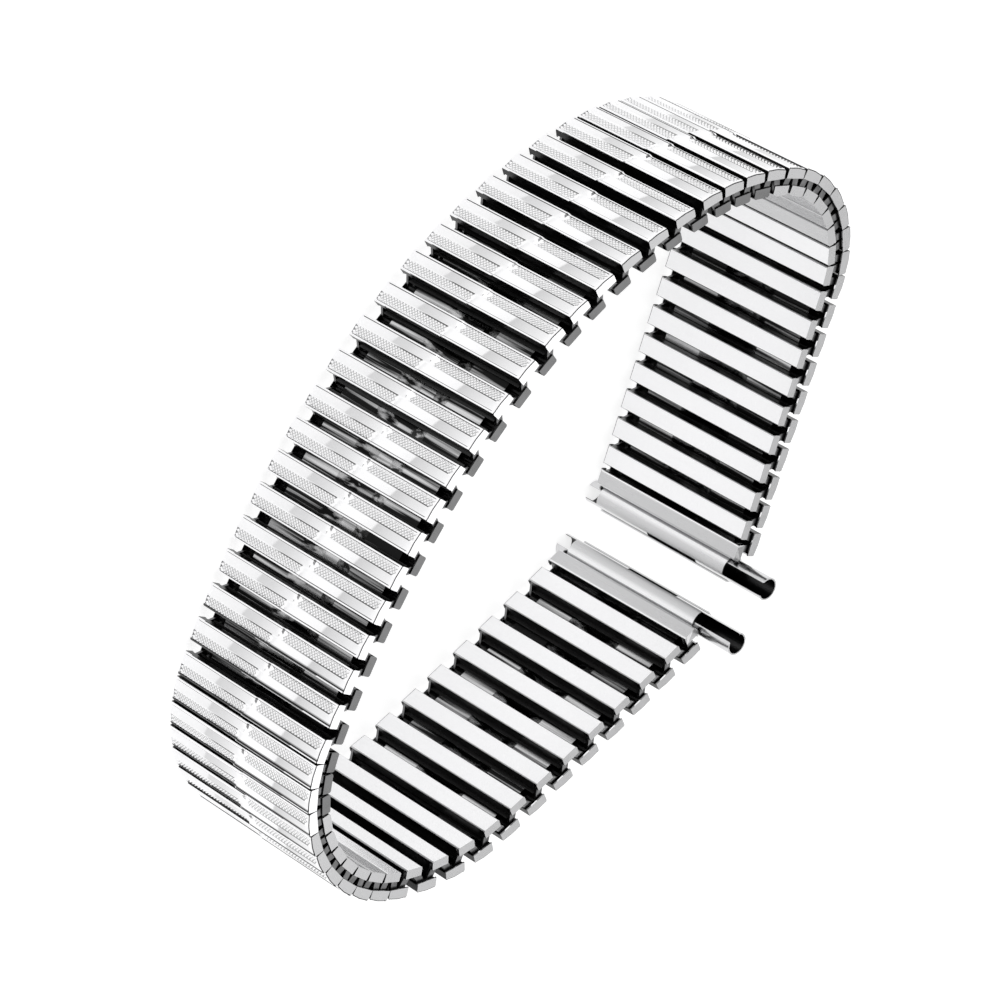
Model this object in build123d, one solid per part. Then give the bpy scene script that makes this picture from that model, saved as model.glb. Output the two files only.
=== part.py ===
"""Expansion watch band, closed to a loop and standing on its far edge.

Two staggered layers of folded steel links are joined by staples, and a bowed leaf spring in
every link presses on the staple legs. A telescoping spring-bar tube closes each end.
Millimetres, +Z across the band. In a link's own frame x runs along the band and y outward."""
import os
from math import atan2, cos, degrees, radians, sin, sqrt

from build123d import *

# Layers, outward from the middle of the band's thickness
layer_gap = 0.06
sleeve_height = 1.14
sheet = 0.12
slot_width = 0.8
link_corner_radius = 0.2

# Decorated cap of an outer link
cap_length = 18.0
cap_width = 2.14
cap_sheet = 0.18
cap_wall = 0.15
cap_fit = 0.02
cap_edge_radius = 0.1
cap_flap_height = 1.0
cap_wall_height = 0.85

# Inner link, bent down at both ends
cap_overhang = 0.15
inner_width = 1.78
end_bend_radius = 0.5
end_flap_gap = 0.3

# Staple: two flat legs and the web that joins them
staple_span_share = 1.5175
leg_width = 0.65
leg_sheet = 0.25
leg_length_share = 0.69
leg_offset = 0.38
web_clearance = 0.03
sleeve_clearance = 0.1
staple_chamfer = 0.3

# Leaf spring: flat ends, raised middle
spring_sheet = 0.09
spring_width = 0.95
spring_end_gap = 1.25
spring_bend_gap = 0.3
spring_crown = 1.6
spring_clearance = 0.02

# End link with its rolled tube, and the two inserts that slide in it
end_link_width = 1.48
end_link_slot = 0.4
end_link_corner_radius = 0.25
end_link_setback = 0.82
end_leg_offset = 0.25
tube_diameter = 2.5
tube_sheet = 0.14
tube_length = 16.0
tube_slot_angle = 50.0
tube_slot_turn = 40.0
seam_overlap = 0.1
insert_fit = 0.04
insert_sheet = 0.14
insert_length = 7.95
insert_opening = 1.2
near_reach = 12.4
far_reach = 9.66

# Runs of the band from its six o'clock end: links, pitch, and turn per link in degrees
first_heading = -24.6
links_per_run = (7, 4, 10, 8, 4, 6, 4, 7, 9)
run_pitch = (3.30, 3.15, 2.12, 3.10, 3.47, 3.13, 2.42, 2.11, 2.69)
run_turn = (0.5, 9.2, 10.0, 2.25, 3.5, 3.8, 7.2, 13.2, 0.0)
links_per_segment = 6
stretch_after = (6, 54)

overrun = 1.0

# Levels and places that follow from the sizes above
lip_level = layer_gap / 2
sleeve_top = lip_level + sleeve_height
cap_top = sleeve_top + cap_sheet
staple_span = staple_span_share * sleeve_height
inner_half = cap_length / 2 - cap_overhang
web_face = inner_half - sheet - web_clearance
leg_length = leg_length_share * web_face
spring_half = web_face - leg_sheet - spring_end_gap
spring_flat_start = web_face - leg_length + spring_bend_gap
sleeve_end = web_face - leg_sheet - sleeve_clearance
sleeve_width = cap_width - 2 * (cap_wall + cap_fit)
tube_radius = tube_diameter / 2


def placed(x, y, angle):
    """A frame's place in the band's plane."""
    return Location((x, y, 0), (0, 0, degrees(angle)))


def frames():
    """Frames of the outer links and of the inner links between them, from the six o'clock end."""
    outer = [(0.0, 0.0, radians(first_heading))]
    inner = []
    for count, pitch, turn in zip(links_per_run, run_pitch, run_turn):
        for _ in range(count):
            x, y, angle = outer[-1]
            middle = angle - radians(turn) / 2
            inner.append((x + pitch / 2 * cos(middle), y + pitch / 2 * sin(middle), middle))
            outer.append((x + pitch * cos(middle), y + pitch * sin(middle), angle - radians(turn)))
    return outer, inner


def beside(frame, distance):
    """A frame moved along its own x."""
    x, y, angle = frame
    return x + distance * cos(angle), y + distance * sin(angle), angle


def rounded_section(width, bottom, top, radius):
    """A rectangle across the band's run, its two lower corners rounded."""
    half = width / 2
    with BuildSketch() as sketch:
        with Locations((0, (bottom + top) / 2)):
            Rectangle(width, top - bottom)
        lower = sketch.vertices().sort_by(Axis.Y)[:2]
        fillet(lower, radius)
    return sketch.sketch


def end_outline(half_length, bottom, top, radius):
    """The same, seen along x: z to the right and y up."""
    with BuildSketch(Plane.YZ) as sketch:
        with Locations(((bottom + top) / 2, 0)):
            Rectangle(top - bottom, 2 * half_length)
        lower = sketch.vertices().sort_by(Axis.Y)[:2]
        fillet(lower, radius)
    return sketch.sketch


def slab(x_size, y_low, y_high, z_low, z_high):
    """A box that is centred on x."""
    box = Box(x_size, y_high - y_low, z_high - z_low)
    return Pos(0, (y_low + y_high) / 2, (z_low + z_high) / 2) * box


def both_ends(piece):
    """A piece and its mirror image at the other edge of the band."""
    return [piece, mirror(piece, Plane.XY)]


def folded_link(width, corner_radius, slot):
    """Folded link, its plate toward the wrist (lower y), slotted side at the layer gap."""
    bottom = -sleeve_top
    inside = bottom + sheet
    body = extrude(rounded_section(width, bottom, -lip_level, corner_radius), inner_half, both=True)
    body &= extrude(end_outline(inner_half, bottom, -lip_level, end_bend_radius), width, both=True)
    hollow_section = rounded_section(width - 2 * sheet, inside, -lip_level - sheet, corner_radius - sheet)
    room = extrude(hollow_section, inner_half, both=True)
    end_room = end_outline(inner_half - sheet, inside, overrun, end_bend_radius - sheet)
    bend = extrude(end_room, width, both=True)
    body -= room & bend
    slot_end = inner_half - sheet
    body -= slab(slot, inside + sheet, overrun, -slot_end, slot_end)
    for side in both_ends(slab(2 * width, bottom - overrun, overrun, sleeve_end, inner_half + overrun)):
        body -= bend & side
    for side in both_ends(slab(2 * width, -end_flap_gap, overrun, sleeve_end, inner_half + overrun)):
        body -= side
    return body


def outer_sleeve():
    """Folded sleeve of an outer link, its slot toward the layer gap."""
    body = slab(sleeve_width, lip_level, sleeve_top, -sleeve_end, sleeve_end)
    body -= slab(sleeve_width - 2 * sheet, lip_level + sheet, sleeve_top - sheet, -cap_length, cap_length)
    body -= slab(slot_width, -overrun, lip_level + 2 * sheet, -cap_length, cap_length)
    return body


def outer_cap():
    """Cap with side walls and end flaps, its long and short outer edges rounded."""
    half = cap_length / 2
    body = slab(cap_width, cap_top - cap_flap_height, cap_top, -half, half)
    rim = body.faces().sort_by(Axis.Y)[-1].edges()
    body = fillet(rim, cap_edge_radius)
    inside = half - cap_sheet
    body -= slab(cap_width - 2 * cap_wall, -overrun, sleeve_top, -inside, inside)
    body -= slab(2 * cap_width, -overrun, cap_top - cap_wall_height, -inside, inside)
    return body


def staple():
    """Staple at the band's upper edge, its web standing across the layer gap."""
    half = staple_span / 2 + leg_sheet / 2
    body = slab(leg_width, -half, half, web_face - leg_length, web_face)
    corners = body.faces().sort_by(Axis.Z)[-1].edges().filter_by(Axis.X)
    body = chamfer(corners, staple_chamfer)
    gap_half = half - leg_sheet
    body -= slab(2 * leg_width, -gap_half, gap_half, -overrun, web_face - leg_sheet)
    return body


def leaf_spring():
    """Bowed spring of an outer link: its ends lie under the staple legs, its middle under the cap."""
    low = lip_level + sheet + spring_clearance
    high = sleeve_top - sheet - spring_clearance - spring_sheet
    crown = spring_crown / 2
    line = [(low, -spring_half), (low, -spring_flat_start), (high, -crown)]
    line += [(y, -z) for y, z in reversed(line)]
    back = [(y + spring_sheet, z) for y, z in reversed(line)]
    with BuildSketch(Plane.YZ) as sketch:
        with BuildLine():
            Polyline(*line, *back, close=True)
        make_face()
    return extrude(sketch.sketch, spring_width / 2, both=True)


def end_link():
    """End link of the six o'clock end: a narrow folded link whose sheet rolls on into a tube."""
    body = folded_link(end_link_width, end_link_corner_radius, end_link_slot)
    centre = -(end_link_width / 2 + tube_radius - seam_overlap)
    level = -sleeve_top + tube_radius
    tube = Cylinder(tube_radius, tube_length) - Cylinder(tube_radius - tube_sheet, tube_length + overrun)
    mouth = extrude(tube_wedge(), tube_length, both=True)
    tube -= mouth
    return body + Pos(centre, level, 0) * tube


def tube_wedge():
    """The part of the tube's round that its sheet leaves open."""
    middle = radians(180 + tube_slot_turn)
    half = radians(tube_slot_angle) / 2
    points = [(0, 0)]
    for angle in (middle - half, middle + half):
        points.append((tube_diameter * cos(angle), tube_diameter * sin(angle)))
    with BuildSketch() as sketch:
        with BuildLine():
            Polyline(*points, close=True)
        make_face()
    return sketch.sketch


def insert(reach):
    """Insert of the six o'clock tube, open toward the wrist; reach is its tip's height over the middle."""
    radius = tube_radius - tube_sheet - insert_fit
    body = Cylinder(radius, insert_length) - Cylinder(radius - insert_sheet, insert_length + overrun)
    body -= slab(insert_opening, -tube_diameter, 0, -insert_length, insert_length)
    centre = -(end_link_width / 2 + tube_radius - seam_overlap)
    return Pos(centre, -sleeve_top + tube_radius, reach - insert_length / 2) * body


def staple_place(outer, outer_offset, inner, inner_offset):
    """Where a staple lies whose legs sit equally deep in an outer and an inner link."""
    ox, oy, oa = beside(outer, outer_offset)
    ix, iy, ia = beside(inner, inner_offset)
    ux, uy = ox - ix, oy - iy
    wx, wy = -sin(oa) - sin(ia), cos(oa) + cos(ia)
    a, b, c = wx * wx + wy * wy, ux * wx + uy * wy, ux * ux + uy * uy - staple_span ** 2
    depth = (sqrt(b * b - a * c) - b) / a
    top = (ox - depth * sin(oa), oy + depth * cos(oa))
    low = (ix + depth * sin(ia), iy - depth * cos(ia))
    tilt = atan2(top[1] - low[1], top[0] - low[0]) - radians(90)
    return (top[0] + low[0]) / 2, (top[1] + low[1]) / 2, tilt


def staple_rows(outer, inner):
    """Places of the staples before and behind each outer link."""
    first_end = beside(outer[0], -end_link_setback)
    last_end = beside(outer[-1], end_link_setback)
    before = [staple_place(outer[0], -leg_offset, first_end, end_leg_offset)]
    for link, neighbour in zip(outer[1:], inner):
        before.append(staple_place(link, -leg_offset, neighbour, leg_offset))
    behind = []
    for link, neighbour in zip(outer, inner):
        behind.append(staple_place(link, leg_offset, neighbour, -leg_offset))
    behind.append(staple_place(outer[-1], leg_offset, last_end, -end_leg_offset))
    return before, behind


def build():
    """All nodes by name."""
    outer, inner = frames()
    before, behind = staple_rows(outer, inner)
    cap, sleeve = outer_cap(), outer_sleeve()
    link = folded_link(inner_width, link_corner_radius, slot_width)
    spring = leaf_spring()
    inner_spring = mirror(spring, Plane.XZ)
    staple_pair = both_ends(staple())
    nodes = {}
    segments = len(outer) // links_per_segment
    for number in range(1, segments + 1):
        last = number * links_per_segment
        span = range(last - links_per_segment, last)
        own = [i for i in range(span.start - 1, last) if i in span or span.start in stretch_after]
        own_inner = [inner[i] for i in own if i < len(inner) and (i < span.start or i + 1 not in stretch_after)]
        name = f"{number:02d}"
        nodes["outer_caps_" + name] = [placed(*outer[i]) * cap for i in span]
        nodes["outer_sleeves_" + name] = [placed(*outer[i]) * sleeve for i in span]
        nodes["inner_links_" + name] = [placed(*frame) * link for frame in own_inner]
        springs = [placed(*outer[i]) * spring for i in span]
        springs += [placed(*frame) * inner_spring for frame in own_inner]
        nodes["leaf_springs_" + name] = springs
        held = [before[i] for i in span] + [behind[i] for i in span if i + 1 not in stretch_after]
        nodes["staples_" + name] = [placed(*place) * part for place in held for part in staple_pair]
    for name, link_number in zip(("six", "twelve"), stretch_after):
        place = placed(*behind[link_number - 1])
        nodes["stretch_staples_" + name] = [place * part for part in staple_pair]
    six = beside(outer[0], -end_link_setback)
    twelve = beside(outer[-1], end_link_setback)
    end_pieces = {
        "end_link": end_link(),
        "near_insert": insert(near_reach),
        "far_insert": mirror(insert(far_reach), Plane.XY),
    }
    for name, piece in end_pieces.items():
        nodes[name + "_six"] = [placed(*six) * piece]
        nodes[name + "_twelve"] = [placed(*twelve) * mirror(piece, Plane.YZ)]
    return nodes


def seated(nodes):
    """The nodes with the origin under the middle of the whole band."""
    boxes = [solid.bounding_box() for solids in nodes.values() for solid in solids]
    middle_x = (min(box.min.X for box in boxes) + max(box.max.X for box in boxes)) / 2
    middle_y = (min(box.min.Y for box in boxes) + max(box.max.Y for box in boxes)) / 2
    move = Pos(-middle_x, -middle_y, -min(box.min.Z for box in boxes))
    return {name: [move * solid for solid in solids] for name, solids in nodes.items()}


os.makedirs("parts", exist_ok=True)
for name, solids in seated(build()).items():
    export_step(Compound(children=solids), f"parts/{name}.step")
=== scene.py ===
"""Looks of the expansion watch band: decorated caps, steels, floor, lights and camera."""
import math
import bmesh
import bpy
from mathutils import Matrix, Vector


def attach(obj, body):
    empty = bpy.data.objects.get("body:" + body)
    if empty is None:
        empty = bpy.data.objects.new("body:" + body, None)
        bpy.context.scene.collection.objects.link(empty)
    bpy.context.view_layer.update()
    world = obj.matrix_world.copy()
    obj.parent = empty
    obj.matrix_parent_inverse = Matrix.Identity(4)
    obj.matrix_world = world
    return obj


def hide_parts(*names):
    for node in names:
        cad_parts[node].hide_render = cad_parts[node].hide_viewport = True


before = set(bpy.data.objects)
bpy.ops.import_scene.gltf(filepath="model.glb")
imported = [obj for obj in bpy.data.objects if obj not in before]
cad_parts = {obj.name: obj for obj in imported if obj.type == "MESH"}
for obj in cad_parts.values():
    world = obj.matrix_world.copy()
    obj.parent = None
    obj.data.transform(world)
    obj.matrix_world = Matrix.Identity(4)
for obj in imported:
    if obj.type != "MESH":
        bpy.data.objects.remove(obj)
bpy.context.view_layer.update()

MM = 0.001

# Run of the band from its six end: number of links, pitch in millimetres and turn in degrees
FIRST_HEADING = math.radians(-24.6)
RUNS = ((7, 3.30, 0.5), (4, 3.15, 9.2), (10, 2.12, 10.0), (8, 3.10, 2.25), (4, 3.47, 3.5),
        (6, 3.13, 3.8), (4, 2.42, 7.2), (7, 2.11, 13.2), (9, 2.69, 0.0))
LAST_HEADING = FIRST_HEADING - math.radians(sum(count * turn for count, _, turn in RUNS))
CHAIN_START = (4.567886, 18.888347, 9.66)
SEGMENTS = 10
LINKS_PER_SEGMENT = 6
END_SETBACK = 0.82

# Segments that the photograph shows darker or lighter than the others, each for one kind of face
# Caps with a band of painted shade on one border
SHADE_BAND_SEGMENTS = (3, 4)
# Caps whose end flaps are painted lit; elsewhere they get painted shade
LIT_FLAP_SEGMENTS = (4, 5, 6)
# Inner links whose plates get painted shade
SHADED_PLATE_SEGMENTS = (3, 8)
# Inner links whose end flaps get a darker painted shade
SHADED_HOOK_SEGMENTS = (4, 5, 6, 7)

# Cap in its link's frame, in millimetres: x along the band, y outward, z along the cap
CAP_LENGTH = 18.0
CAP_WIDTH = 2.14
CAP_TOP = 1.35
CAP_SHEET = 0.18
CAP_WALL = 0.12
FLAP_HEIGHT = 1.0
WALL_HEIGHT = 0.85
SHARP_ANGLE = math.radians(22)

# Rounding of the cap's ends and long sides: distance inward, then how far the face drops there
END_PROFILE = ((0.0, 0.10), (0.03, 0.03), (0.12, 0.0))
SIDE_PROFILE = ((0.0, 0.10), (0.03, 0.03), (0.10, 0.0))
FLAP_ROWS = len(END_PROFILE)

# Face of the cap, by distance from its middle: a ridge, a strip on each side, a border with a sunk line
FACE_COLUMNS = (0.82, 0.64, 0.46, 0.28, 0.10, 0.03)
RIDGE_EDGE = 0.05
STRIP_EDGE = 0.83
LINE_OUTSIDE = 0.885
LINE_BOTTOM = 0.86
LINE_DEPTH = 0.04

# Relief of the strips: knurled ones are sunk and fall toward the border, smooth ones are slightly round
BARE_END = 0.2
BARE_RECESS = 0.01
KNURL_STEP = 0.18
KNURL_DEPTH = 0.06
KNURL_RECESS = 0.05
PIT_MARGIN = 2 * KNURL_STEP
SLOPE_START = 0.10
SLOPE_WIDTH = 0.72
SLOPE_LIMIT = 1.3
KNURL_DROP = 0.10
SMOOTH_DROP = 0.02
SWAP_SLANT = 0.4
SWAP_GAP = 0.15

# Painted reflections on the smooth strips, in areas with slanted borders: place along the cap, negative
# toward the far end, then the tone there
PAINTED_REFLECTION_TONES = ((-9.0, 1.0), (-8.2, 0.98), (-6.2, 0.95), (-4.4, 0.90), (-4.2, 0.68), (-2.4, 0.74),
               (-1.0, 0.84), (-0.2, 0.90), (0.2, 1.0), (2.2, 1.0), (3.6, 0.96), (4.4, 0.93),
               (4.6, 0.62), (5.8, 0.70), (8.2, 0.86), (9.0, 0.98))
PAINTED_REFLECTION_SLANT = 0.45
PAINTED_REFLECTION_MIDDLE = 0.46

# Line of painted shade along the ridge, in its far and its near half: place along the cap, then how dark the
# line is there
STEP_SHADE_FAR = ((-9.0, 0.0), (-6.0, 0.0), (-3.0, 1.0), (-0.5, 1.0))
STEP_SHADE_NEAR = ((0.6, 0.55), (5.1, 1.0), (8.6, 1.0))

# Band of painted shade on one border: its outer edge at the far end, how far that comes in by the near end,
# its width
BAND_REACH = 1.10
BAND_TAPER = 0.16
BAND_WIDTH = 0.24
BAND_SHADE_TONE = 0.10

# Material numbers of a cap's faces
SMOOTH, ROUGH, WALL, FLAP = range(4)


def matrix(x, y, angle):
    """A link's place in the frame, in metres."""
    move = Matrix.Translation(Vector((x + CHAIN_START[0], y + CHAIN_START[1], CHAIN_START[2])) * MM)
    return move @ Matrix.Rotation(angle, 4, "Z")


def link_frames():
    """Matrices of the outer links, then of the inner and the end links; x along the band, y outward."""
    x, y, angle = 0.0, 0.0, FIRST_HEADING
    outer, inner = [(x, y, angle)], []
    for count, pitch, turn in RUNS:
        for _ in range(count):
            middle = angle - math.radians(turn) / 2
            inner.append((x + pitch / 2 * math.cos(middle), y + pitch / 2 * math.sin(middle), middle))
            x, y = x + pitch * math.cos(middle), y + pitch * math.sin(middle)
            angle -= math.radians(turn)
            outer.append((x, y, angle))
    for end, side in ((outer[0], -END_SETBACK), (outer[-1], END_SETBACK)):
        inner.append((end[0] + side * math.cos(end[2]), end[1] + side * math.sin(end[2]), end[2]))
    return [matrix(*place) for place in outer], [matrix(*place) for place in inner]


# Steels; the depth of their relief is in millimetres
NOISE_DETAIL = 3.0
LEAST_ROUGHNESS = 0.02
BLUE_SHARE = 1.01
# Mark value from which the painted shade in hollows and on edges begins
GROOVE_SHADE_START = 0.55
RELIEF_DEPTH = 0.02
LONGWAYS = (6.0, 6.0, 0.25)
SPRING_GRAIN = (2.2, 2.2, 0.05)

# Sockets of the Mix node while it mixes colours
MIX_FACTOR, MIX_FIRST, MIX_SECOND, MIX_RESULT = 0, 6, 7, 2


def grey(tone):
    """A neutral colour."""
    return (tone, tone, tone, 1)


def multiplied(tree, first, second):
    """The product of two colours."""
    mix = tree.nodes.new("ShaderNodeMix")
    mix.data_type = "RGBA"
    mix.blend_type = "MULTIPLY"
    mix.inputs[MIX_FACTOR].default_value = 1.0
    tree.links.new(first, mix.inputs[MIX_FIRST])
    tree.links.new(second, mix.inputs[MIX_SECOND])
    return mix.outputs[MIX_RESULT]


def grain_noise(tree, grain, scale):
    """Noise drawn out along the grain."""
    coord = tree.nodes.new("ShaderNodeTexCoord")
    stretch = tree.nodes.new("ShaderNodeMapping")
    stretch.inputs["Scale"].default_value = grain
    noise = tree.nodes.new("ShaderNodeTexNoise")
    noise.inputs["Scale"].default_value = scale
    noise.inputs["Detail"].default_value = NOISE_DETAIL
    tree.links.new(coord.outputs["Object"], stretch.inputs["Vector"])
    tree.links.new(stretch.outputs["Vector"], noise.inputs["Vector"])
    return noise.outputs["Fac"]


def grain_roughness(tree, noise, rough, spread):
    """Roughness that varies with the noise."""
    between_limits = tree.nodes.new("ShaderNodeMapRange")
    between_limits.inputs["To Min"].default_value = max(rough - spread, LEAST_ROUGHNESS)
    between_limits.inputs["To Max"].default_value = rough + spread
    tree.links.new(noise, between_limits.inputs["Value"])
    return between_limits.outputs["Result"]


def grain_colour(tree, noise, base, tone, streak):
    """Steel colour that varies with the noise, between the two noise values of the streak."""
    ramp = tree.nodes.new("ShaderNodeValToRGB")
    tones = (max(base - tone, 0.0), min(base + tone, 1.0))
    for stop, position, level in zip(ramp.color_ramp.elements, streak, tones):
        stop.position = position
        stop.color = (level, level, level * BLUE_SHARE, 1)
    tree.links.new(noise, ramp.inputs["Fac"])
    return ramp.outputs["Color"]


def with_painted_shade(tree, colour, groove_shade_tone):
    """The colour, darker as painted shade where the mesh asks for it, times the mesh's tones of painted
    reflection and painted shade.
    """
    groove_shade = tree.nodes.new("ShaderNodeAttribute")
    groove_shade.attribute_name = "groove_shade"
    edge = tree.nodes.new("ShaderNodeMapRange")
    edge.inputs["From Min"].default_value = GROOVE_SHADE_START
    edge.inputs["From Max"].default_value = 1.0
    tree.links.new(groove_shade.outputs["Fac"], edge.inputs["Value"])
    mix = tree.nodes.new("ShaderNodeMix")
    mix.data_type = "RGBA"
    mix.inputs[MIX_SECOND].default_value = grey(groove_shade_tone)
    tree.links.new(edge.outputs["Result"], mix.inputs[MIX_FACTOR])
    tree.links.new(colour, mix.inputs[MIX_FIRST])
    # Tones of painted reflection and painted shade, read from the mesh
    painted_reflection_shade = tree.nodes.new("ShaderNodeAttribute")
    painted_reflection_shade.attribute_name = "painted_reflection_shade"
    return multiplied(tree, mix.outputs[MIX_RESULT], painted_reflection_shade.outputs["Color"])


def steel(name, base, rough, spread=0.05, grain=(1.0, 1.0, 1.0), scale=900.0, relief=0.03, tone=0.04,
          groove_shade_tone=None, streak=(0.0, 1.0)):
    """Steel whose tone, roughness and fine relief vary along its grain, with painted shade in hollows and on
    edges where asked.
    """
    material = bpy.data.materials.new(name)
    material.use_nodes = True
    tree = material.node_tree
    shader = tree.nodes["Principled BSDF"]
    shader.inputs["Metallic"].default_value = 1.0
    noise = grain_noise(tree, grain, scale)
    tree.links.new(grain_roughness(tree, noise, rough, spread), shader.inputs["Roughness"])
    colour = grain_colour(tree, noise, base, tone, streak)
    if groove_shade_tone is not None:
        colour = with_painted_shade(tree, colour, groove_shade_tone)
    tree.links.new(colour, shader.inputs["Base Color"])
    bump = tree.nodes.new("ShaderNodeBump")
    bump.inputs["Strength"].default_value = relief
    bump.inputs["Distance"].default_value = RELIEF_DEPTH * MM
    tree.links.new(noise, bump.inputs["Height"])
    tree.links.new(bump.outputs["Normal"], shader.inputs["Normal"])
    return material


# The numbers right after a name are base tone, roughness and how much the roughness varies
# Polished steel, with painted shade in the sunk lines, along the ridge's step and on the near end's rounding
polished = steel("polished_steel", 0.90, 0.12, 0.04, scale=700.0, relief=0.02, tone=0.03, groove_shade_tone=0.08)
# Knurled steel, with painted shade in the pits of the knurl
knurled = steel("knurled_steel", 0.93, 0.25, scale=2600.0, tone=0.03, groove_shade_tone=0.42)
brushed = steel("brushed_steel", 0.86, 0.22, 0.06, grain=LONGWAYS, relief=0.08)
# Painted shade on bends: the caps' end flaps and the inner links' flaps and side edges
bend_shade = steel("bend_shade_steel", 0.50, 0.28, 0.06, relief=0.05, tone=0.06)
shaded = steel("shaded_steel", 0.58, 0.26, 0.06, grain=LONGWAYS, relief=0.06, tone=0.05)
# Darker painted shade on the inner links' end flaps in some segments
hook_shade_steel = steel("hook_shade_steel", 0.18, 0.28, 0.06, relief=0.05, tone=0.05)
# Lit copy for the caps' end flaps in some segments, painted light beside the shaded flaps
lit_flap_steel = steel("lit_flap_steel", 0.86, 0.24, relief=0.05, tone=0.05)
tube_steel = steel("tube_steel", 0.66, 0.20, 0.06, scale=1500.0, relief=0.04, tone=0.06)
# Staples darkened as painted shade of the gaps between the caps
staple_shade_steel = steel("staple_shade_steel", 0.16, 0.30, 0.08, scale=1500.0, relief=0.05, tone=0.12)
# Springs darkened as painted shade of the gaps, with light streaks along the grain as painted highlights
spring_steel = steel("spring_steel", 0.30, 0.22, 0.06, grain=SPRING_GRAIN, relief=0.08, tone=0.29,
                     streak=(0.47, 0.63))
# Painted shade: near-black steel for the sleeves, the caps' side walls, the links' faces behind and inside,
# and the inserts' bores
painted_shade_steel = steel("painted_shade_steel", 0.035, 0.35, 0.08, grain=LONGWAYS, scale=1500.0, relief=0.05, tone=0.03)

# End links, with painted highlights and painted shade by the way the sheet faces: degrees that the sheet
# faces away from the wrist, negative toward the links, then its tone
PAINTED_FACING_TONES = ((-180, 0.70), (-112, 0.50), (-100, 0.05), (-64, 0.05), (-57, 0.60), (-44, 1.0),
              (-30, 0.95), (-14, 0.68), (0, 0.62), (14, 0.56), (28, 0.66), (42, 1.0), (64, 0.95),
              (80, 0.45), (110, 0.45), (180, 0.70))
ROLL_BASE = 0.88
ROLL_ROUGHNESS = 0.26
FULL_TURN = 360
HALF_SHARE = 0.5


def arithmetic(tree, operation, *values):
    """Result of one Math node, whose values are sockets or plain numbers."""
    node = tree.nodes.new("ShaderNodeMath")
    node.operation = operation
    for socket, value in zip(node.inputs, values):
        if isinstance(value, float):
            socket.default_value = value
        else:
            tree.links.new(value, socket)
    return node.outputs["Value"]


def facing_share(tree, heading, free_side):
    """How the surface faces round the tube's axis, from 0 to 1, with one half toward the wrist."""
    coord = tree.nodes.new("ShaderNodeTexCoord")
    spin = tree.nodes.new("ShaderNodeVectorRotate")
    spin.rotation_type = "Z_AXIS"
    spin.inputs["Angle"].default_value = -heading
    tree.links.new(coord.outputs["Normal"], spin.inputs["Vector"])
    split = tree.nodes.new("ShaderNodeSeparateXYZ")
    tree.links.new(spin.outputs["Vector"], split.inputs["Vector"])
    toward_wrist = arithmetic(tree, "MULTIPLY", split.outputs["Y"], -1.0)
    toward_free = arithmetic(tree, "MULTIPLY", split.outputs["X"], free_side)
    angle = arithmetic(tree, "ARCTAN2", toward_free, toward_wrist)
    return arithmetic(tree, "MULTIPLY_ADD", angle, 1 / math.tau, HALF_SHARE)


def painted_light_sheet(name, heading, free_side):
    """Satin sheet with painted highlights and shade that follow the way it faces round the tube's axis,
    lightest on its shoulders.
    """
    material = steel(name, ROLL_BASE, ROLL_ROUGHNESS, grain=LONGWAYS, scale=1200.0, relief=0.10)
    tree = material.node_tree
    share = facing_share(tree, heading, free_side)
    ramp = tree.nodes.new("ShaderNodeValToRGB")
    tree.links.new(share, ramp.inputs["Fac"])
    stops = ramp.color_ramp.elements
    stops[0].color = grey(PAINTED_FACING_TONES[0][1])
    stops[1].color = grey(PAINTED_FACING_TONES[-1][1])
    for degrees, tone in PAINTED_FACING_TONES[1:-1]:
        stops.new(degrees / FULL_TURN + HALF_SHARE).color = grey(tone)
    base_colour = tree.nodes["Principled BSDF"].inputs["Base Color"]
    grain = base_colour.links[0].from_socket
    tree.links.new(multiplied(tree, grain, ramp.outputs["Color"]), base_colour)
    return material


# Decorated caps
def between(points, place):
    """Value at this place on the straight lines from point to point."""
    for (low, start), (high, stop) in zip(points, points[1:]):
        if place <= high:
            return start + (stop - start) * max(place - low, 0) / (high - low)
    return points[-1][1]


def is_knurled(x, z):
    """Whether this side is the knurled strip; the two strips swap at a slant at mid-length."""
    turn = SWAP_SLANT * x
    return (x < 0 and z < turn - SWAP_GAP) or (x > 0 and z > turn + SWAP_GAP)


def is_bare(z):
    """Whether the cap has no knurl and no sunk line there, close to an end."""
    return CAP_LENGTH / 2 - abs(z) <= BARE_END


def painted_reflection_tone(x, z):
    """Tone of the painted reflections on the smooth strips, in areas whose borders are slanted."""
    slant = PAINTED_REFLECTION_SLANT * (abs(x) - PAINTED_REFLECTION_MIDDLE)
    return between(PAINTED_REFLECTION_TONES, z - slant if z < 0 else z + slant)


def step_shade(z):
    """How dark the painted shade line is where the knurled strip steps down beside the smooth one."""
    for line in (STEP_SHADE_FAR, STEP_SHADE_NEAR):
        if line[0][0] < z < line[-1][0]:
            return between(line, z)
    return 0.0


def painted_band_shade(x, z):
    """Tone of a border with a band of painted shade, whose outer edge comes in from the far end to the near
    one.
    """
    reach = BAND_REACH - BAND_TAPER * (z + CAP_LENGTH / 2) / CAP_LENGTH
    return BAND_SHADE_TONE if reach - BAND_WIDTH < x < reach else 1.0


def cap_stations():
    """Rows of points along the cap: z, how far the face drops toward the end, and the side's bottom."""
    half_length, flap_face = CAP_LENGTH / 2, CAP_LENGTH / 2 - CAP_SHEET
    count = round(2 * flap_face / KNURL_STEP)
    places = [-flap_face + 2 * flap_face * i / count for i in range(count + 1)]
    flap = [(-half_length + inward, drop, CAP_TOP - FLAP_HEIGHT) for inward, drop in END_PROFILE]
    walls = [(z, 0.0, CAP_TOP - WALL_HEIGHT) for z in places]
    return flap + walls + [(-z, drop, bottom) for z, drop, bottom in reversed(flap)]


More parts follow.
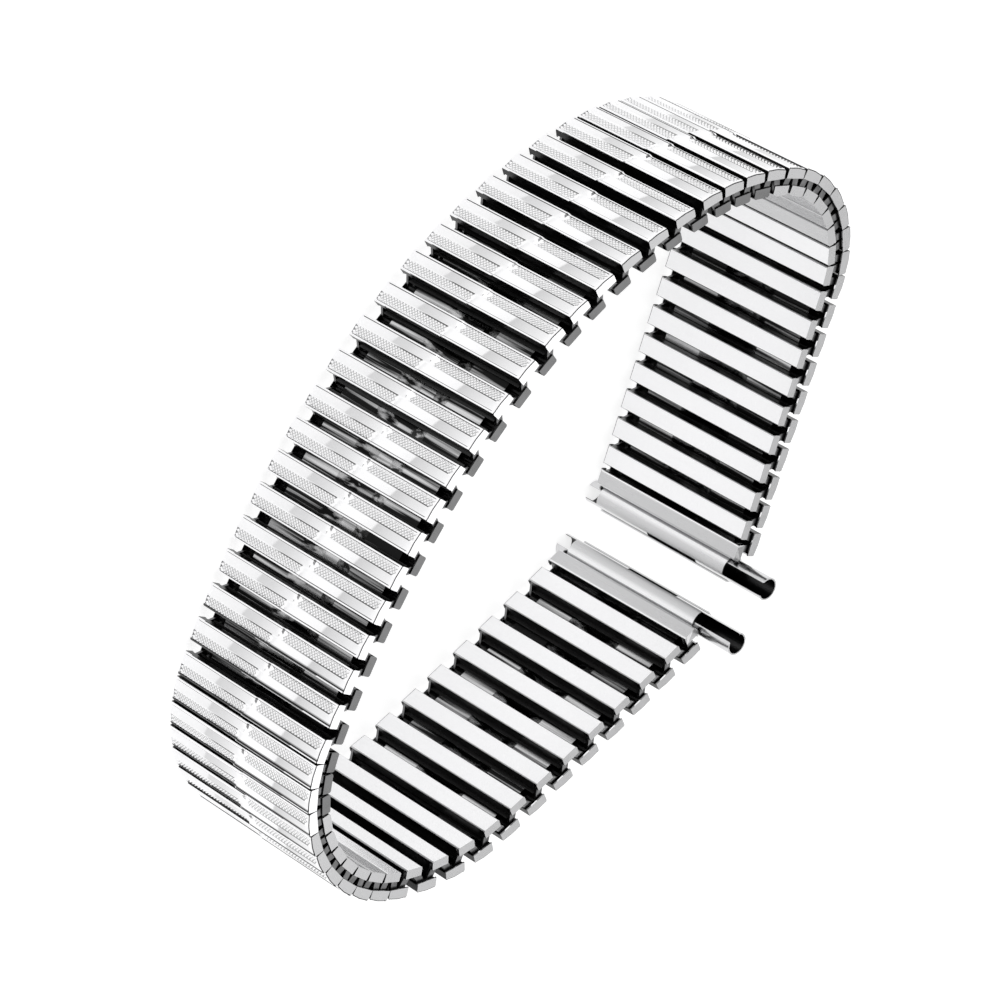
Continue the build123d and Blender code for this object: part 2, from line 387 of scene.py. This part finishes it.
def cap_columns():
    """Points across the cap: x, and the border's height there; the first and last are the sides' bottom."""
    half_width = CAP_WIDTH / 2
    edge = [(half_width - inward, -drop) for inward, drop in SIDE_PROFILE]
    line = [(LINE_OUTSIDE, 0.0), (LINE_BOTTOM, -LINE_DEPTH)]
    side = [(half_width, 0.0)] + edge + line + [(x, 0.0) for x in FACE_COLUMNS]
    return [(-x, height) for x, height in side] + side[::-1]


def face_point(x, z, border_height, near_end_shade, is_pit_place):
    """Height over the cap's top, painted shade, and painted reflection tone at one point of its face."""
    knurl = is_knurled(x, z)
    slope = max(min((abs(x) - SLOPE_START) / SLOPE_WIDTH, SLOPE_LIMIT), 0.0)
    lean = -KNURL_DROP * slope if knurl else 0.0
    if abs(x) > STRIP_EDGE:
        # The sunk line gets painted shade
        in_line = abs(x) <= LINE_OUTSIDE and not is_bare(z)
        return border_height + lean, 1.0 if in_line else near_end_shade, 1.0
    if abs(x) < RIDGE_EDGE:
        return 0.0, max(step_shade(z), near_end_shade), 1.0
    if not knurl:
        return -SMOOTH_DROP * slope * slope, near_end_shade, painted_reflection_tone(x, z)
    if is_bare(z):
        return lean - BARE_RECESS, near_end_shade, 1.0
    if is_pit_place and is_knurled(x, z - PIT_MARGIN) and is_knurled(x, z + PIT_MARGIN):
        return lean - KNURL_RECESS - KNURL_DEPTH, 1.0, 1.0
    return lean - KNURL_RECESS, 0.0, 1.0


def cap_points(stations, columns, has_band):
    """Points of the cap's outer side, with their painted shade and their tones of painted reflection and
    shade.
    """
    points, groove_shades, painted_reflection_shades = [], [], []
    for station, (z, drop, bottom) in enumerate(stations):
        # Painted shade on the rounding of the cap's near end
        near_end_shade = 1.0 if z > 0 and drop > 0 else 0.0
        for column, (x, border_height) in enumerate(columns):
            if column in (0, len(columns) - 1):
                points.append((x, bottom, z))
                groove_shades.append(0.0)
                painted_reflection_shades.append(1.0)
                continue
            is_pit_place = (station + column) % 2 == 0
            height, groove_shade, painted_reflection_shade = face_point(x, z, border_height, near_end_shade, is_pit_place)
            points.append((x, CAP_TOP - drop + height, z))
            groove_shades.append(groove_shade)
            painted_reflection_shades.append(painted_reflection_shade * painted_band_shade(-x, z) if has_band else painted_reflection_shade)
    return points, groove_shades, painted_reflection_shades


def outer_faces(stations, columns):
    """Faces of the cap's outer side, split in triangles where knurled, with their material numbers."""
    row = len(columns)
    faces, numbers = [], []
    for station in range(len(stations) - 1):
        z = (stations[station][0] + stations[station + 1][0]) / 2
        for column in range(row - 1):
            x = (columns[column][0] + columns[column + 1][0]) / 2
            left, right = station * row + column, station * row + column + 1
            next_left, next_right = left + row, right + row
            if not is_knurled(x, z) or not RIDGE_EDGE < abs(x) < STRIP_EDGE or is_bare(z):
                faces.append((left, next_left, next_right, right))
                numbers.append(WALL if column in (0, row - 2) else SMOOTH)
            elif (station + column) % 2 == 0:
                faces += [(left, next_left, next_right), (left, next_right, right)]
                numbers += [ROUGH, ROUGH]
            else:
                faces += [(left, next_left, right), (next_left, next_right, right)]
                numbers += [ROUGH, ROUGH]
    return faces, numbers


def inner_corners():
    """Corners of the cap's hollow, in the order that closing_faces takes them in."""
    half_width, flap_face = CAP_WIDTH / 2 - CAP_WALL, CAP_LENGTH / 2 - CAP_SHEET
    heights = (CAP_TOP - WALL_HEIGHT, CAP_TOP - CAP_SHEET)
    return [(x, y, z) for z in (-flap_face, flap_face) for x in (-half_width, half_width) for y in heights]


def closing_faces(count, row, base):
    """Faces of the hollow, of the walls' bottoms and of the end flaps, with their material numbers."""
    far_left_low, far_left_top, far_right_low, far_right_top = range(base, base + 4)
    near_left_low, near_left_top, near_right_low, near_right_top = range(base + 4, base + 8)
    left = [station * row for station in range(count)]
    right = [station * row + row - 1 for station in range(count)]
    walls = slice(FLAP_ROWS, -FLAP_ROWS)
    far_step, near_step = slice(FLAP_ROWS - 1, FLAP_ROWS + 1), slice(-FLAP_ROWS - 1, -FLAP_ROWS + 1)
    hollow = [(far_left_top, far_right_top, near_right_top, near_left_top),
              (far_left_low, far_left_top, near_left_top, near_left_low),
              (far_right_low, near_right_low, near_right_top, far_right_top),
              (far_left_low, far_right_low, far_right_top, far_left_top),
              (near_left_low, near_left_top, near_right_top, near_right_low)]
    wall_bottoms = [(*left[walls], near_left_low, far_left_low),
                    (*right[walls][::-1], far_right_low, near_right_low)]
    flaps = [tuple(range(left[0], right[0] + 1)), tuple(reversed(range(left[-1], right[-1] + 1)))]
    flap_bottoms = [(*left[:FLAP_ROWS], *right[:FLAP_ROWS][::-1]),
                    (*left[far_step], far_left_low, far_right_low, *right[far_step][::-1]),
                    (*right[-FLAP_ROWS:][::-1], *left[-FLAP_ROWS:]),
                    (*right[near_step][::-1], near_right_low, near_left_low, *left[near_step])]
    smooth_before, smooth_after = len(hollow) + len(wall_bottoms), len(flap_bottoms)
    numbers = [SMOOTH] * smooth_before + [FLAP] * len(flaps) + [SMOOTH] * smooth_after
    return hollow + wall_bottoms + flaps + flap_bottoms, numbers


def cap_mesh(has_band):
    """Points in metres, faces, material numbers, painted shade and tones of painted reflection and shade of
    one cap.
    """
    stations, columns = cap_stations(), cap_columns()
    points, groove_shades, painted_reflection_shades = cap_points(stations, columns, has_band)
    faces, numbers = outer_faces(stations, columns)
    closing, closing_numbers = closing_faces(len(stations), len(columns), len(points))
    corners = inner_corners()
    groove_shades += [0.0] * len(corners)
    painted_reflection_shades += [1.0] * len(corners)
    points = [Vector(point) * MM for point in points + corners]
    return points, faces + closing, numbers + closing_numbers, groove_shades, painted_reflection_shades


def cap_group(number, places):
    """The caps of one segment as one piece."""
    points, faces, numbers, groove_shades, painted_reflection_shades = cap_mesh(number in SHADE_BAND_SEGMENTS)
    all_points, all_faces = [], []
    for place in places:
        start = len(all_points)
        all_points.extend(place @ point for point in points)
        all_faces.extend(tuple(start + corner for corner in face) for face in faces)
    mesh = bpy.data.meshes.new(f"decorated_caps_{number:02d}")
    mesh.from_pydata(all_points, [], all_faces)
    # Cap faces: polished steel, knurled steel, painted shade on the side walls, end flaps lit in some
    # segments and with painted shade in the others
    for material in (polished, knurled, painted_shade_steel, lit_flap_steel if number in LIT_FLAP_SEGMENTS else bend_shade):
        mesh.materials.append(material)
    mesh.polygons.foreach_set("material_index", numbers * len(places))
    colours = [value for tone in painted_reflection_shades for value in grey(tone)]
    # Painted shade, then tones of painted reflection and painted shade, stored on the points
    mesh.attributes.new("groove_shade", "FLOAT", "POINT").data.foreach_set("value", groove_shades * len(places))
    mesh.attributes.new("painted_reflection_shade", "FLOAT_COLOR", "POINT").data.foreach_set("color", colours * len(places))
    shell = bmesh.new()
    shell.from_mesh(mesh)
    bmesh.ops.recalc_face_normals(shell, faces=shell.faces)
    shell.to_mesh(mesh)
    shell.free()
    mesh.shade_smooth()
    mesh.set_sharp_from_angle(angle=SHARP_ANGLE)
    obj = bpy.data.objects.new(f"decorated_caps_{number:02d}", mesh)
    bpy.context.scene.collection.objects.link(obj)
    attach(obj, f"segment_{number:02d}")
    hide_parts(f"outer_caps_{number:02d}")


outer_places, inner_places = link_frames()
for number in range(1, SEGMENTS + 1):
    first = (number - 1) * LINKS_PER_SEGMENT
    cap_group(number, outer_places[first:first + LINKS_PER_SEGMENT])

# Finishes and painted shade of the CAD nodes: steel by kind of node, and width of the softened edges in
# millimetres
STEELS = {"outer_sleeves": painted_shade_steel, "inner_links": brushed, "leaf_springs": spring_steel,
          "staples": staple_shade_steel, "stretch_staples": staple_shade_steel,
          "near_insert": tube_steel, "far_insert": tube_steel}
SOFT_EDGES = {"outer_sleeves": 0.02, "inner_links": 0.03, "leaf_springs": 0.01, "staples": 0.02,
              "stretch_staples": 0.02, "end_link": 0.03, "near_insert": 0.02, "far_insert": 0.02}
EDGE_SEGMENTS = 2
EDGE_ANGLE = math.radians(40)

# Heading of each end link, and on which side of it along the band its tube is free
END_LINKS = {"end_link_six": (FIRST_HEADING, -1.0), "end_link_twelve": (LAST_HEADING, 1.0)}

# Limits that tell the faces of links and inserts apart: lengths in millimetres, then parts of a unit normal
PLATE_LEVEL = -0.82
FLAP_FACE = 8.78
BORE_REACH = 0.15
STEEP_PART = 0.45
SLIGHT_PART = 0.3


def shade_link(mesh, number):
    """Bright plate toward the wrist, shaded plate in some segments; flaps and side edges duller and faces
    behind and inside dark, all as painted shade.
    """
    if number in SHADED_PLATE_SEGMENTS:
        mesh.materials[0] = shaded
    mesh.materials.append(hook_shade_steel if number in SHADED_HOOK_SEGMENTS else bend_shade)
    mesh.materials.append(painted_shade_steel)
    plate, flap, inside = range(3)
    to_links = [place.inverted() for place in inner_places]
    for face in mesh.polygons:
        to_link = min(to_links, key=lambda change: (change @ face.center).xy.length)
        spot = to_link @ face.center / MM
        normal = to_link.to_3x3() @ face.normal
        if abs(normal.z) > STEEP_PART and normal.y < SLIGHT_PART:
            face.material_index = flap if abs(spot.z) > FLAP_FACE else inside
        elif normal.y > -SLIGHT_PART or spot.y > PLATE_LEVEL:
            face.material_index = inside
        else:
            face.material_index = flap if abs(normal.x) > STEEP_PART else plate


def shade_insert(mesh):
    """Dark bore of an insert, as painted shade."""
    mesh.materials.append(painted_shade_steel)
    outside, bore = range(2)
    centre = sum((face.center for face in mesh.polygons), Vector()) / len(mesh.polygons)
    for face in mesh.polygons:
        reach = (centre - face.center).xy.dot(face.normal.xy) / MM
        is_bore = reach > BORE_REACH and abs(face.normal.z) < SLIGHT_PART
        face.material_index = bore if is_bore else outside


for name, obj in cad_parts.items():
    kind = name.rsplit("_", 1)[0]
    if kind not in SOFT_EDGES:
        continue
    finish_and_painted_light = painted_light_sheet("rolled_" + name, *END_LINKS[name]) if name in END_LINKS else STEELS[kind]
    obj.data.materials.clear()
    obj.data.materials.append(finish_and_painted_light)
    if kind == "inner_links":
        shade_link(obj.data, int(name[-2:]))
    if kind in ("near_insert", "far_insert"):
        shade_insert(obj.data)
    bevel = obj.modifiers.new("edges", "BEVEL")
    bevel.width = SOFT_EDGES[kind] * MM
    bevel.segments = EDGE_SEGMENTS
    bevel.limit_method = "ANGLE"
    bevel.angle_limit = EDGE_ANGLE

# Floor, in metres; it glows so that it stays white round the band
FLOOR_REACH = 3.0
FLOOR_TONE = 0.55
FLOOR_ROUGHNESS = 0.9
FLOOR_GLOW = 0.80

floor_mesh = bpy.data.meshes.new("floor")
floor_corners = [(x * FLOOR_REACH, y * FLOOR_REACH, 0) for x, y in ((-1, -1), (1, -1), (1, 1), (-1, 1))]
floor_mesh.from_pydata(floor_corners, [], [(0, 1, 2, 3)])
floor = bpy.data.objects.new("floor", floor_mesh)
bpy.context.scene.collection.objects.link(floor)
floor_material = bpy.data.materials.new("pale_floor")
floor_material.use_nodes = True
floor_shader = floor_material.node_tree.nodes["Principled BSDF"]
floor_shader.inputs["Base Color"].default_value = grey(FLOOR_TONE)
floor_shader.inputs["Roughness"].default_value = FLOOR_ROUGHNESS
floor_shader.inputs["Emission Color"].default_value = grey(1)
floor_shader.inputs["Emission Strength"].default_value = FLOOR_GLOW
floor_mesh.materials.append(floor_material)

# World, darker toward the horizon: height of the direction, then the tone there
SKY_TONES = ((0.0, 0.10), (0.9, 1.0))
SKY_STRENGTH = 0.5

world = bpy.data.worlds.new("studio")
bpy.context.scene.world = world
world.use_nodes = True
sky_nodes, sky_links = world.node_tree.nodes, world.node_tree.links
sky_coord = sky_nodes.new("ShaderNodeTexCoord")
sky_split = sky_nodes.new("ShaderNodeSeparateXYZ")
sky_ramp = sky_nodes.new("ShaderNodeValToRGB")
for stop, (height, tone) in zip(sky_ramp.color_ramp.elements, SKY_TONES):
    stop.position = height
    stop.color = grey(tone)
sky_links.new(sky_coord.outputs["Generated"], sky_split.inputs["Vector"])
sky_links.new(sky_split.outputs["Z"], sky_ramp.inputs["Fac"])
sky_links.new(sky_ramp.outputs["Color"], sky_nodes["Background"].inputs["Color"])
sky_nodes["Background"].inputs["Strength"].default_value = SKY_STRENGTH

# Lights, in metres
LIGHT_TARGET = Vector((0, 0, 0.01))


def area(name, place, size, radiance):
    """A soft rectangle of light; radiance is how bright a mirror would show it, with the floor at about 1."""
    light = bpy.data.lights.new(name, "AREA")
    light.shape = "RECTANGLE"
    light.size, light.size_y = size
    light.energy = radiance * math.pi * size[0] * size[1]
    obj = bpy.data.objects.new(name, light)
    obj.location = place
    obj.rotation_euler = (LIGHT_TARGET - Vector(place)).to_track_quat("-Z", "Y").to_euler()
    bpy.context.scene.collection.objects.link(obj)


area("key", place=(-0.25, -0.35, 0.35), size=(0.35, 0.35), radiance=1.6)
area("top", place=(-0.02, 0.42, 0.50), size=(0.60, 0.30), radiance=1.3)
area("side", place=(0.40, -0.10, 0.20), size=(0.20, 0.30), radiance=1.0)

# Camera, fitted to the photograph: lengths in millimetres, pixels for the focal length and the frame
CAMERA_TILT = math.radians(38.78)
CAMERA_ROLL = math.radians(119.92)
CAMERA_YAW = math.radians(-0.6589)
CAMERA_DISTANCE = 423.6
CAMERA_SHIFT = (-7.01, -10.33)
FIT_PLACE = (-9.4287, 23.5111, 0)
FOCAL_PIXELS = 4981.0
FRAME_PIXELS = 1000
SENSOR_WIDTH = 36.0
CLIP_START = 10.0
CLIP_END = 20000.0

tilt_sine, tilt_cosine = math.sin(CAMERA_TILT), math.cos(CAMERA_TILT)
level = Vector((1, 0, 0))
rise = Vector((0, tilt_sine, tilt_cosine))
ahead = Vector((0, tilt_cosine, -tilt_sine))
right = math.cos(CAMERA_ROLL) * level + math.sin(CAMERA_ROLL) * rise
up = -math.sin(CAMERA_ROLL) * level + math.cos(CAMERA_ROLL) * rise
eye = -CAMERA_DISTANCE * ahead - CAMERA_SHIFT[0] * right - CAMERA_SHIFT[1] * up - Vector(FIT_PLACE)
yaw = Matrix.Rotation(CAMERA_YAW, 4, "Z")
axes = (yaw @ right, yaw @ up, yaw @ -ahead, (yaw @ eye + Vector(CHAIN_START)) * MM)
camera_data = bpy.data.cameras.new("camera")
camera_data.sensor_width = SENSOR_WIDTH
camera_data.lens = FOCAL_PIXELS / FRAME_PIXELS * SENSOR_WIDTH
camera_data.clip_start = CLIP_START * MM
camera_data.clip_end = CLIP_END * MM
camera = bpy.data.objects.new("camera", camera_data)
camera.matrix_world = Matrix([[axis[k] for axis in axes] for k in range(3)] + [[0, 0, 0, 1]])
bpy.context.scene.collection.objects.link(camera)
bpy.context.scene.camera = camera
bpy.context.scene.view_settings.view_transform = "Standard"
